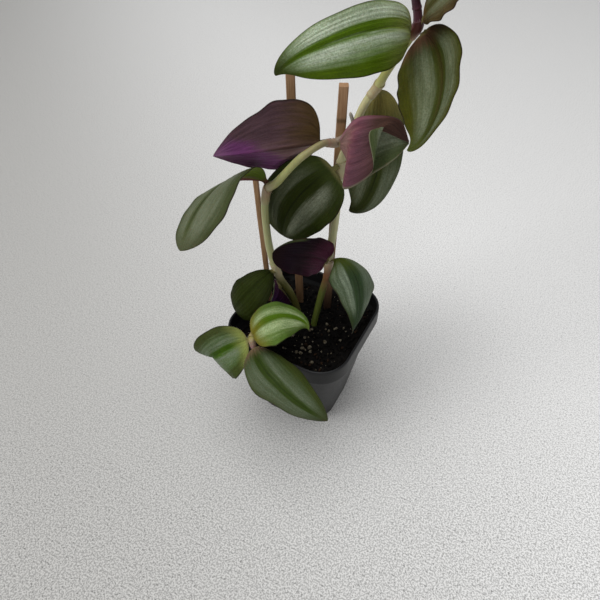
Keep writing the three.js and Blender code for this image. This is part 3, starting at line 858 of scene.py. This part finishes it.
# What the numbers and colours of a leaf's grouped values are. heading, rise and roll turn a leaf
# at its node, bend arches it to its under side, sway curves it sideways, twist turns it along its
# length, fold lifts both halves from the midrib and curl brings their margins down again.
leafGroups = {
    "turn": "heading rise roll", "size": "length width", "bends": "bend sway twist fold curl",
    "outline": "rounded pointed lean", "upper": "line stripe margin silver base tip",
    "lower": "underBase under underSide underTip",
}
leaves = {
    # This leaf's pale yellow-green base is partly its own colour and partly painted light, for light
    # that shines through the blade by the node
    "leaf_top_left": {
        "node": (25.1, 21.8, 171.1), "turn": (-117, 2, -72), "size": (60, 19),
        "bends": (94, -46, -8, 10, 29), "outline": (0.55, 0.64, 0.26), "early": 0.98, "clear": 1.3,
        "hook": 52, "slot": "leaf_green",
        "upper": "34460a 5c7c10 567008 d2e0c6 a4ae5c 3e4420", "baseEnd": 0.5,
        "left": (0.08, 0.06, 0.34, 0.66, 1.0), "right": (0.42, 0.24, 1.0, 1.0, 0.95),
        "silverEnd": 0.97,
    },
    "leaf_top_right": {
        "node": (29, 23, 172), "turn": (-71, -22, 45), "size": (49, 23),
        "bends": (-21, 58, 3, 21, 15), "outline": (0.55, 0.78, -0.23), "early": 1.8,
        "ruffle": (0.05, 0), "ruffles": 2.0, "flutter": 0.35, "clear": 0.8, "hook": -80,
        "ribAt": 0.1, "slot": "leaf_olive",
        "upper": "3e3416 363e10 3c3e04 6c735a 6e4c3c 4a5220", "baseEnd": 0.22,
        "left": (0.22, 0.22, 0.9, 0.8, 0.8), "right": (0.2, 0.2, 0.68, 0.62, 0.95),
        "lineWidth": 0.2,
    },
    "leaf_top_young": {
        "node": (28.1, 22.5, 174.2), "turn": (-3, 45, 39), "size": (29, 16),
        "bends": (52, -6, 7, 15, 28), "outline": (0.63, 0.93, 0), "early": 0.76,
        "ruffle": (0.05, 0.05), "flutter": 0.6, "slot": "leaf_olive",
        "upper": "3c2c14 4e4c28 4c4024 70745a 6a5030 4a3a20", "rim": "30101f",
    },
    "leaf_top_newest": {
        "node": (24.6, 22.6, 184), "turn": (165, 62, 10), "size": (17, 7),
        "bends": (20, 0, 0, 38, 5), "slot": "leaf_purple",
        "upper": "30141c 4a3a28 4a2236 605848 4c2430 40202c", "rim": "34101f",
    },
    "leaf_right_hanging": {
        "node": (17.2, 19.4, 152.8), "turn": (162, -85, -113), "size": (58, 26),
        "bends": (-25, 35, -6, 0, 72), "outline": (0.51, 0.42, -0.31), "early": 0.45, "clear": 1.7,
        "hook": -75, "slot": "leaf_dark",
        "upper": "161e0a 404a1e 3e4a1e 929c84 9a904e 2c3216", "baseEnd": 0.36,
        "left": (0.22, 0.22, 0.86, 0.8, 0.5), "right": (0.1, 0.12, 0.45, 0.55, 0.7),
        "silverStart": 0.4,
    },
    "leaf_purple": {
        "node": (7.1, 7.7, 135.8), "turn": (-140, -1, 70), "size": (40, 38),
        "bends": (-11, 9, -4, 25, 16), "outline": (0.4, 0.88, -0.05), "early": 1.05,
        "petiole": 0.06, "clear": 2.9, "slot": "leaf_purple",
        "lower": "5a4628 644a52 7c4478 a2749a", "front": (0.48, -0.42), "ribLine": "442e2a",
        "flush": "967478", "tipStart": 0.78,
    },
    "leaf_left_drooping": {
        "node": (-15, -2.5, 116), "turn": (-105, -9, 33), "size": (49, 26),
        "bends": (130, 13, -48, 7, 21), "outline": (0.93, 0.67, 0.31), "early": 0.45, "clear": 1.6,
        "slot": "leaf_green",
        "upper": "20280e 48502e 3e4626 6e745e 5c7018 54583e",
        "lower": "66782a 66782a 7a4c4a 5e3356", "stalk": "7a5048", "baseEnd": 0.35,
        "left": (0.14, 0.1, 0.75, 0.8, 0.8), "right": (0.14, 0.1, 0.75, 0.8, 0.75),
        "lineWidth": 0.1, "front": (0.3, -0.6),
    },
    "leaf_centre": {
        "node": (10.1, 8.5, 126.7), "turn": (-172, -61, -88), "size": (44, 29),
        "bends": (35, -49, 28, 15, 22), "outline": (0.33, 0.55, 0.09), "early": 1.42, "clear": 3.5,
        "slot": "leaf_dark",
        "upper": "1a2006 2c3608 2e380c a2a892 3e4a1c 343c18", "baseEnd": 0.24,
        "left": (0.22, 0.22, 0.66, 0.58, 0.75), "right": (0.3, 0.3, 0.75, 0.6, 0.3),
    },
    # This leaf's near-black under side is painted shade: it stands in the shadow of the leaves around
    # it
    "leaf_dark": {
        "node": (6.4, 9.1, 77.3), "turn": (-115, 34, 91), "size": (33, 18),
        "bends": (-25, 31, -6, 5, 44), "outline": (0.42, 0.42, 0.07), "early": 1.25, "clear": 2.9,
        "slot": "leaf_purple",
        "lower": "58263e 1e0612 180514 1c0508", "front": (0.5, 0.1), "stripe": "4e5a34",
        "ribLine": "2c101a", "rim": "34101a", "curled": (0.72, 0.6, "4c5634"),
    },
    "leaf_right_low": {
        "node": (6.3, 9.3, 77.7), "turn": (-47, -30, -34), "size": (39, 26),
        "bends": (137, 14, -41, 1, 31), "outline": (1.19, 1.5, 0.05), "early": 0.56, "clear": 2.8,
        "slot": "leaf_green",
        "upper": "1c2a10 34482a 384826 98a68e 5c6a1c 343c2c", "baseEnd": 0.4, "rim": "2a2018",
        "left": (0.24, 0.26, 1.0, 1.0, 0.42), "right": (0.3, 0.28, 0.94, 0.92, 0.75), "split": 0.7,
        "silverEnd": 0.85,
    },
    # A dark green leaf whose darkest colour, at the base by the stem, is partly painted shade from
    # the leaves above
    "leaf_left_low": {
        "node": (-14.5, 0.5, 71.5), "turn": (-137, -47, -35), "size": (29, 18),
        "bends": (109, 16, 4, 12, 34), "outline": (0.7, 0.42, 0.07), "early": 0.45,
        "slot": "leaf_dark",
        "upper": "242e02 263002 202802 3a4414 181e02 282e12", "left": (0.2, 0.3, 0.8, 0.7, 0.1),
        "right": (0.1, 0.2, 0.9, 0.8, 0.25),
    },
    "leaf_small": {
        "node": (-13.7, 2.6, 61.5), "turn": (-125, -59, -187), "size": (16, 14),
        "bends": (77, 22, 6, 9, 7), "outline": (0.3, 1.5, -0.16), "early": 1.32,
        "slot": "leaf_purple",
        "lower": "3c1c34 2a1030 2c1238 2c1238", "stripe": "4a5430", "silver": "6a7458",
        "ribLine": "4a2a4c", "curled": (0.7, 0.1, "5c6648"),
    },
    "leaf_shoot_inner": {
        "node": (-10.4, -27.1, 56.2), "turn": (34, 8, 12), "size": (30, 21),
        "bends": (122, 57, 22, 17, 24), "outline": (0.66, 1.22, -0.23), "early": 0.69,
        "clear": 1.7, "hook": -95, "slot": "leaf_fresh",
        "upper": "4c6410 50700e 56702c b4c694 7c7226 6a7c3a", "baseEnd": 0.38,
        "left": (0.22, 0.32, 0.7, 0.6, 0.85), "right": (0.1, 0.06, 0.7, 0.7, 0.85), "split": 0.62,
        "silverEnd": 0.96,
    },
    "leaf_shoot_left": {
        "node": (-11, -27, 56), "turn": (-171, -45, -72), "size": (27, 24),
        "bends": (95, -24, -54, 18, 19), "outline": (0.46, 0.42, 0.06), "early": 2.27, "clear": 2,
        "slot": "leaf_fresh",
        "upper": "38540c 3e5c0a 404a20 748068 8e9650 50583a", "baseEnd": 0.32,
        "left": (0.06, 0.1, 0.5, 0.8, 0.9), "right": (0.16, 0.2, 0.62, 0.75, 0.85),
    },
    "leaf_shoot_front": {
        "node": (-8.1, -28.2, 53.6), "turn": (-22, -5, 20), "size": (47, 21),
        "bends": (84, -24, 42, 0, 59), "outline": (0.42, 0.7, -0.12), "early": 0.45, "clear": 1.8,
        "ribAt": -0.22, "ruffle": (0.03, 0.06), "ruffles": 2.2, "slot": "leaf_green",
        "upper": "22300a 304010 3c461a 626c56 7c6450 40462c", "baseEnd": 0.18,
        "left": (0.1, 0.1, 0.5, 0.62, 0.85), "right": (0.18, 0.18, 0.9, 1.0, 0.8),
    },
}

# The folded leaf hangs shut over its upper side: points of its keel on top and of its two margins
# below, and how far its halves bulge
foldedLeaf = {
    "bow": (0.7, -1.35, 0.75),
    "keel": [
        (10.3, 5.3, 136.9), (11.7, 7.5, 140.7), (14.3, 9.8, 144.4), (19.5, 13, 145.2),
        (26.8, 16.9, 143.8), (31.1, 17.5, 137),
    ],
    "near": [
        (10.1, 5, 136), (14, 3.9, 131), (15.6, -1.6, 123.8), (23.8, 3.4, 130.3),
        (20.5, 6.8, 143.3), (31.3, 17, 136.7),
    ],
    "far": [
        (10.6, 6.1, 135.4), (13.7, 6.6, 129.6), (16.8, 3.2, 123.4), (23.8, 7.4, 128),
        (29.2, 11.4, 133), (31.4, 17, 136.2),
    ],
    "length": 30, "slot": "leaf_purple",
    "upper": "2c3810 4c5a38 505c38 9ea68c 6d7440 4a4d34",
    "lower": "8a6a64 703448 6e4854 443020", "front": (0.35, 0.1), "tipStart": 0.4,
    "rim": "8a8870", "ribLine": "8a5a68",
}


# A leaf's values, each under its own name
def spread(given):
    full = {}
    for name, value in given.items():
        parts = value.split() if name in ("upper", "lower") else value
        full.update(zip(leafGroups[name].split(), parts) if name in leafGroups else {name: value})
    return full


# Middle surface of a leaf at u along it and v across it, from -1 at its right margin to 1 at its
# left. The midrib's direction lifts by bend * (1 / (early + 1) - u^early) and swings by
# sway * (0.5 - u) + hook * u^14, and the midrib is the sum of those directions. At u the half
# width is width / 2 * t^rounded * (1 - t)^pointed, where t is u past the petiole, scaled to 1 at
# its widest and never thinner than the stalk. The left half is 1 + lean and the right half
# 1 - lean times as wide, and a half stands at fold - curl * |v| / 2 to the midrib. The margins move
# in and out by ruffle * v^2 sin(2 pi ruffles u), up and down by wave * v^2 sin(2 pi waves u) and
# by flutter * v^4 sin(flutters * u), all of them fading by sin(pi u) towards base and tip.
def leafSurface(leaf, u, v):
    inside = u.clip(0, 1)
    lift = np.radians(leaf["bend"] * (1 / (leaf["early"] + 1) - inside ** leaf["early"]))
    side = np.radians(leaf["sway"] * (0.5 - inside) + leaf["hook"] * inside ** 14)
    along = np.stack([np.cos(lift) * np.cos(side), np.cos(lift) * np.sin(side), np.sin(lift)], 1)
    steps = (along[1:] + along[:-1]) / 2 * np.diff(u)[:, None] * leaf["length"]
    start = along[0] * (leaf["clear"] + u[0] * leaf["length"])
    middle = start + np.concatenate([np.zeros((1, 3)), np.cumsum(steps, axis=0)])
    across = unit(np.cross((0, 0, 1), along))
    up = np.cross(along, across)
    turn = np.radians(leaf["twist"] * (inside - 0.5))[:, None]
    left = across * np.cos(turn) + up * np.sin(turn)
    out = up * np.cos(turn) - across * np.sin(turn)
    p, q = leaf["rounded"], leaf["pointed"]
    most = (p / (p + q)) ** p * (q / (p + q)) ** q
    past = ((inside - leaf["petiole"]) / (1 - leaf["petiole"])).clip(0, 1)
    wide = leaf["width"] / 2 * past ** p * (1 - past) ** q / most
    stalk = leaf["baseWidth"] / 2 * (1 - inside) ** 2 + 0.02
    half = ((wide ** 3 + stalk ** 3) ** (1 / 3))[:, None]
    reach = (np.abs(v) * (1 + leaf["lean"] * np.sign(v)))[None] * half
    shift = leaf["seed"] * 1.7 + 2 * np.sign(v)
    inside = inside[:, None]
    swell = np.sin(np.pi * inside)
    turns = 2 * np.pi * leaf["ruffles"] * inside + shift
    reach = reach * (1 + np.where(v > 0, *leaf["ruffle"]) * v ** 2 * swell * np.sin(turns))
    angle = np.radians(leaf["fold"] - leaf["curl"] * np.abs(v) / 2)[None]
    ripple = leaf["wave"] * v ** 2 * np.sin(2 * np.pi * leaf["waves"] * inside + v) * swell
    flutter = leaf["flutter"] * v ** 4 * np.sin(leaf["flutters"] * inside + shift) * swell
    rise = (reach * np.sin(angle) + ripple + flutter)[..., None]
    sideways = (np.sign(v)[None] * reach * np.cos(angle))[..., None]
    surface = middle[:, None] + left[:, None] * sideways + out[:, None] * rise
    surface = spun(spun(surface, leaf["roll"], 1, 2), leaf["rise"], 0, 2)
    return spun(surface, leaf["heading"]) + leaf["node"], half


# Middle surface of the folded leaf: from the keel to the margin of each half, bowed outwards by
# 4 v (1 - |v|) sin(pi u)
def foldedSurface(leaf, u, v):
    keel, near, far = (curvePoints(leaf[name], u.clip(0, 1)) for name in ("keel", "near", "far"))
    reach = np.abs(v)[None, :, None]
    edge = np.where((v > 0)[None, :, None], near[:, None], far[:, None])
    bow = 4 * v * (1 - np.abs(v)) * np.sin(np.pi * u.clip(0, 1))[:, None]
    surface = keel[:, None] * (1 - reach) + edge * reach + bow[..., None] * leaf["bow"]
    half = np.linalg.norm(near - keel, axis=1).clip(0.05)[:, None]
    return surface, half


# A leaf's closed blade: the upper side, then the under side, both set off the middle surface along
# its normal by half the thickness. The upper side has a groove over the midrib and the under side a
# rib, each exp(-(distance / width)^2), and both are ridged cos(2 pi ridges |v|) by the veins. The
# rows lie closer to base and tip, and those below u = 0 are the foot, sunk in the node. Its hairs
# grow outwards from both margins of every second row near the base.
def leafShell(leaf, surfaceOf):
    foot, hairy = leaf["clear"] * 0.6 / leaf["length"], slice(8, 26, 2)
    s = np.linspace(0, 1, leaf["rows"])
    u = 0.45 * s + 0.55 * (1 - np.cos(np.pi * s)) / 2
    u = np.concatenate([np.linspace(-foot, 0, 7)[:-1], u])
    v = np.linspace(-1, 1, 2 * leaf["columns"] + 1)
    surface, half = surfaceOf(leaf, u, v)
    normal = np.cross(np.gradient(surface, axis=0), np.gradient(surface, axis=1))
    normal = normal / np.maximum(np.linalg.norm(normal, axis=2, keepdims=True), 1e-9)
    taper = np.minimum(half / 3, 1) * (1 - u.clip(0, 1) ** 6)[:, None]
    thick = leaf["thin"] + (leaf["thickness"] - leaf["thin"]) * (1 - v ** 2)[None] ** 0.6
    thick = thick * (0.3 + 0.7 * taper)
    ribAt = leaf["ribAt"]
    apart = np.abs(v - ribAt)[None] * half
    ridge = leaf["ridgeDepth"] * np.cos(2 * np.pi * leaf["ridges"] * np.abs(v))[None] * taper
    ridge = ridge * (1 - v ** 8)[None]
    groove = leaf["groove"] * np.exp(-(apart / leaf["grooveWidth"]) ** 2) * taper
    midrib = leaf["midrib"] * np.exp(-(apart / leaf["midribWidth"]) ** 2) * taper
    top = surface + normal * (thick / 2 + ridge - groove)[..., None]
    under = surface - normal * (thick / 2 + midrib - ridge)[..., None]
    rings = np.concatenate([top[:, ::-1], under], axis=1)
    side = (v - ribAt) / (1 - ribAt * np.sign(v - ribAt))
    across = np.concatenate([side[::-1], side])[None]
    upper = np.repeat([1, 0], len(v))[None]
    along = u.clip(0, 1)[:, None]
    margins = np.concatenate([surface[hairy, 0], surface[hairy, -1]])
    middles = np.concatenate([surface[hairy, leaf["columns"]]] * 2)
    return loft(rings, along=along, across=across, upper=upper), margins, margins - middles


# Upper side: a thin line on the midrib, a stripe along it, a silver band on each half, darker
# margins and a tinted base and tip. Under side: four colours from base to tip, with darker veins.
# The edges of the bands fray in streaks that run with the veins, and the silver glitters.
def leafFinish(name, leaf):
    constants = {"Specular IOR Level": 0.1, "Subsurface Weight": 0.04, "Subsurface Scale": 0.001}
    material, shader, start = newFinish(name, constants)
    along, across, upper = (start.attribute(n) for n in ("along", "across", "upper"))
    place = start.place()
    margin = abs(across)
    fray = start.vector(along * 2.5, across * 12).noise(1.0, 3.0, 0.6) - 0.5
    hair = start.vector(along * 6, across * 34).noise(1.0, 3.0, 0.65).rise(0.36, 0.64)
    broad = start.vector(along * 3, across * 7 + 40).noise(1.0, 2.0, 0.5).rise(0.36, 0.64)
    cell = place.noise(leaf["cells"], 2.0, 0.7).rise(0.34, 0.66)
    cloud = place.noise(260, 2.0)
    first, last = leaf["silverStart"], leaf["silverEnd"]
    ends = along.rise(first, first + 0.22) * (1 - along.rise(last - 0.2, last))
    silver = 0
    for side, band in ((across, leaf["left"]), (0 - across, leaf["right"])):
        inBase, inTip, outBase, outTip, strength = band
        frayed = side + fray * 0.3
        inner = frayed - (along * (inTip - inBase) + inBase)
        outer = frayed - (along * (outTip - outBase) + outBase)
        silver = silver + inner.rise(-0.06, 0.12) * (1 - outer.rise(-0.34, 0.16)) * strength
    if leaf["split"]:
        silver = silver * (abs(across + leaf["split"]).rise(0.02, 0.1) * 0.55 + 0.45)
    silver = silver * ends * (0.6 + hair * 0.2 + broad * 0.35) * (0.7 + cell * 0.5)
    top = (margin + fray * 0.3).rise(0.4, 0.8).mix(leaf["stripe"], leaf["margin"])
    line = (1 - margin.rise(0.0, leaf["lineWidth"])) * (1 - along.rise(0.6, 0.95)) * 0.7
    top = line.mix(top, leaf["line"])
    top = (along + fray * 0.2).rise(0, leaf["baseEnd"]).mix(leaf["base"], top)
    top = (along.rise(0.82, 1.0) * 0.85).mix(top, leaf["tip"])
    top = silver.mix(top.shade(0.8 + hair * 0.2 + cell * 0.2), leaf["silver"])
    under = (along + fray * 0.4).rise(0.1, 0.55).mix(leaf["underBase"], leaf["under"])
    edge, slope = leaf["front"]
    reached = (along + across * slope + fray * 0.3).rise(edge, edge + 0.2)
    if leaf["flush"]:
        under = (0 - across).rise(-0.3, 0.7).mix(under, leaf["flush"])
    under = reached.mix(under, leaf["underSide"])
    ending = along.rise(leaf["tipStart"], leaf["tipStart"] + 0.26) * 0.85
    under = ending.mix(under, leaf["underTip"])
    vein = ((across * 55).sine() * 0.5 + 0.5) * (1 - margin.rise(0.85, 1.0))
    under = under.shade(0.66 + vein * 0.05 + hair * 0.24 + broad * 0.26 + cell * 0.12)
    rib = (1 - margin.rise(0.015, 0.05)) * (1 - along.rise(0.4, 0.85)) * 0.7
    under = rib.mix(under, leaf["ribLine"])
    if leaf["curled"]:
        side, begin, tone = leaf["curled"]
        curled = across.rise(side, side + 0.08) * along.rise(begin, begin + 0.15)
        under = curled.mix(under, tone)
    colour = upper.rise(0.4, 0.6).mix(under, top)
    colour = ((1 - along.rise(0.0, 0.05)) * 0.9).mix(colour, leaf["stalk"])
    colour = (margin.rise(0.95, 0.99) * 0.75).mix(colour, leaf["rim"])
    colour = colour.shade(0.88 + cloud * 0.24)
    roughness = leaf["rough"] + cell * 0.12 - silver * 0.08
    normal = (hair * 0.7 + cell * 0.25 + vein * 0.15).bump(leaf["relief"] * mm, 0.6)
    feed(shader, colour=colour, roughness=roughness, normal=normal)
    return material


# Gives the hairs' roots and directions on the margins
def makeLeaves():
    margins = []
    blades = [(name, leaf, leafSurface) for name, leaf in leaves.items()]
    blades.append(("leaf_folded", foldedLeaf, foldedSurface))
    for seed, (name, given, surfaceOf) in enumerate(blades):
        leaf = {"seed": seed, **spread(leafCommon), **spread(given)}
        shell, *margin = leafShell(leaf, surfaceOf)
        finish = leafFinish(name.replace("leaf", "blade"), leaf)
        newPiece(name + "_blade", shell, finish, name)
        margins.append(margin)
    return np.concatenate(margins, axis=1)


leafMargins = makeLeaves()
print("leaves made")


# Short pale hairs round the sheaths' mouths and on the leaves' margins near their bases, with the
# length, the width and the seed of each kind
hairLook = {"dull": "b9a99c", "pale": "e6e0d2", "mouths": (1.1, 0.06, 3), "margins": (0.7, 0.05, 4)}


def makeHairs():
    material, shader, start = newFinish("hair", {"Roughness": 0.4})
    feed(shader, colour=start.place().noise(400, 1.0).mix(hairLook["dull"], hairLook["pale"]))
    mouths = hairs(*sheathMouths, *hairLook["mouths"])
    margins = hairs(*leafMargins, *hairLook["margins"])
    newPiece("fine_hairs", joined([mouths, margins]), material)


makeHairs()
print("hairs made")
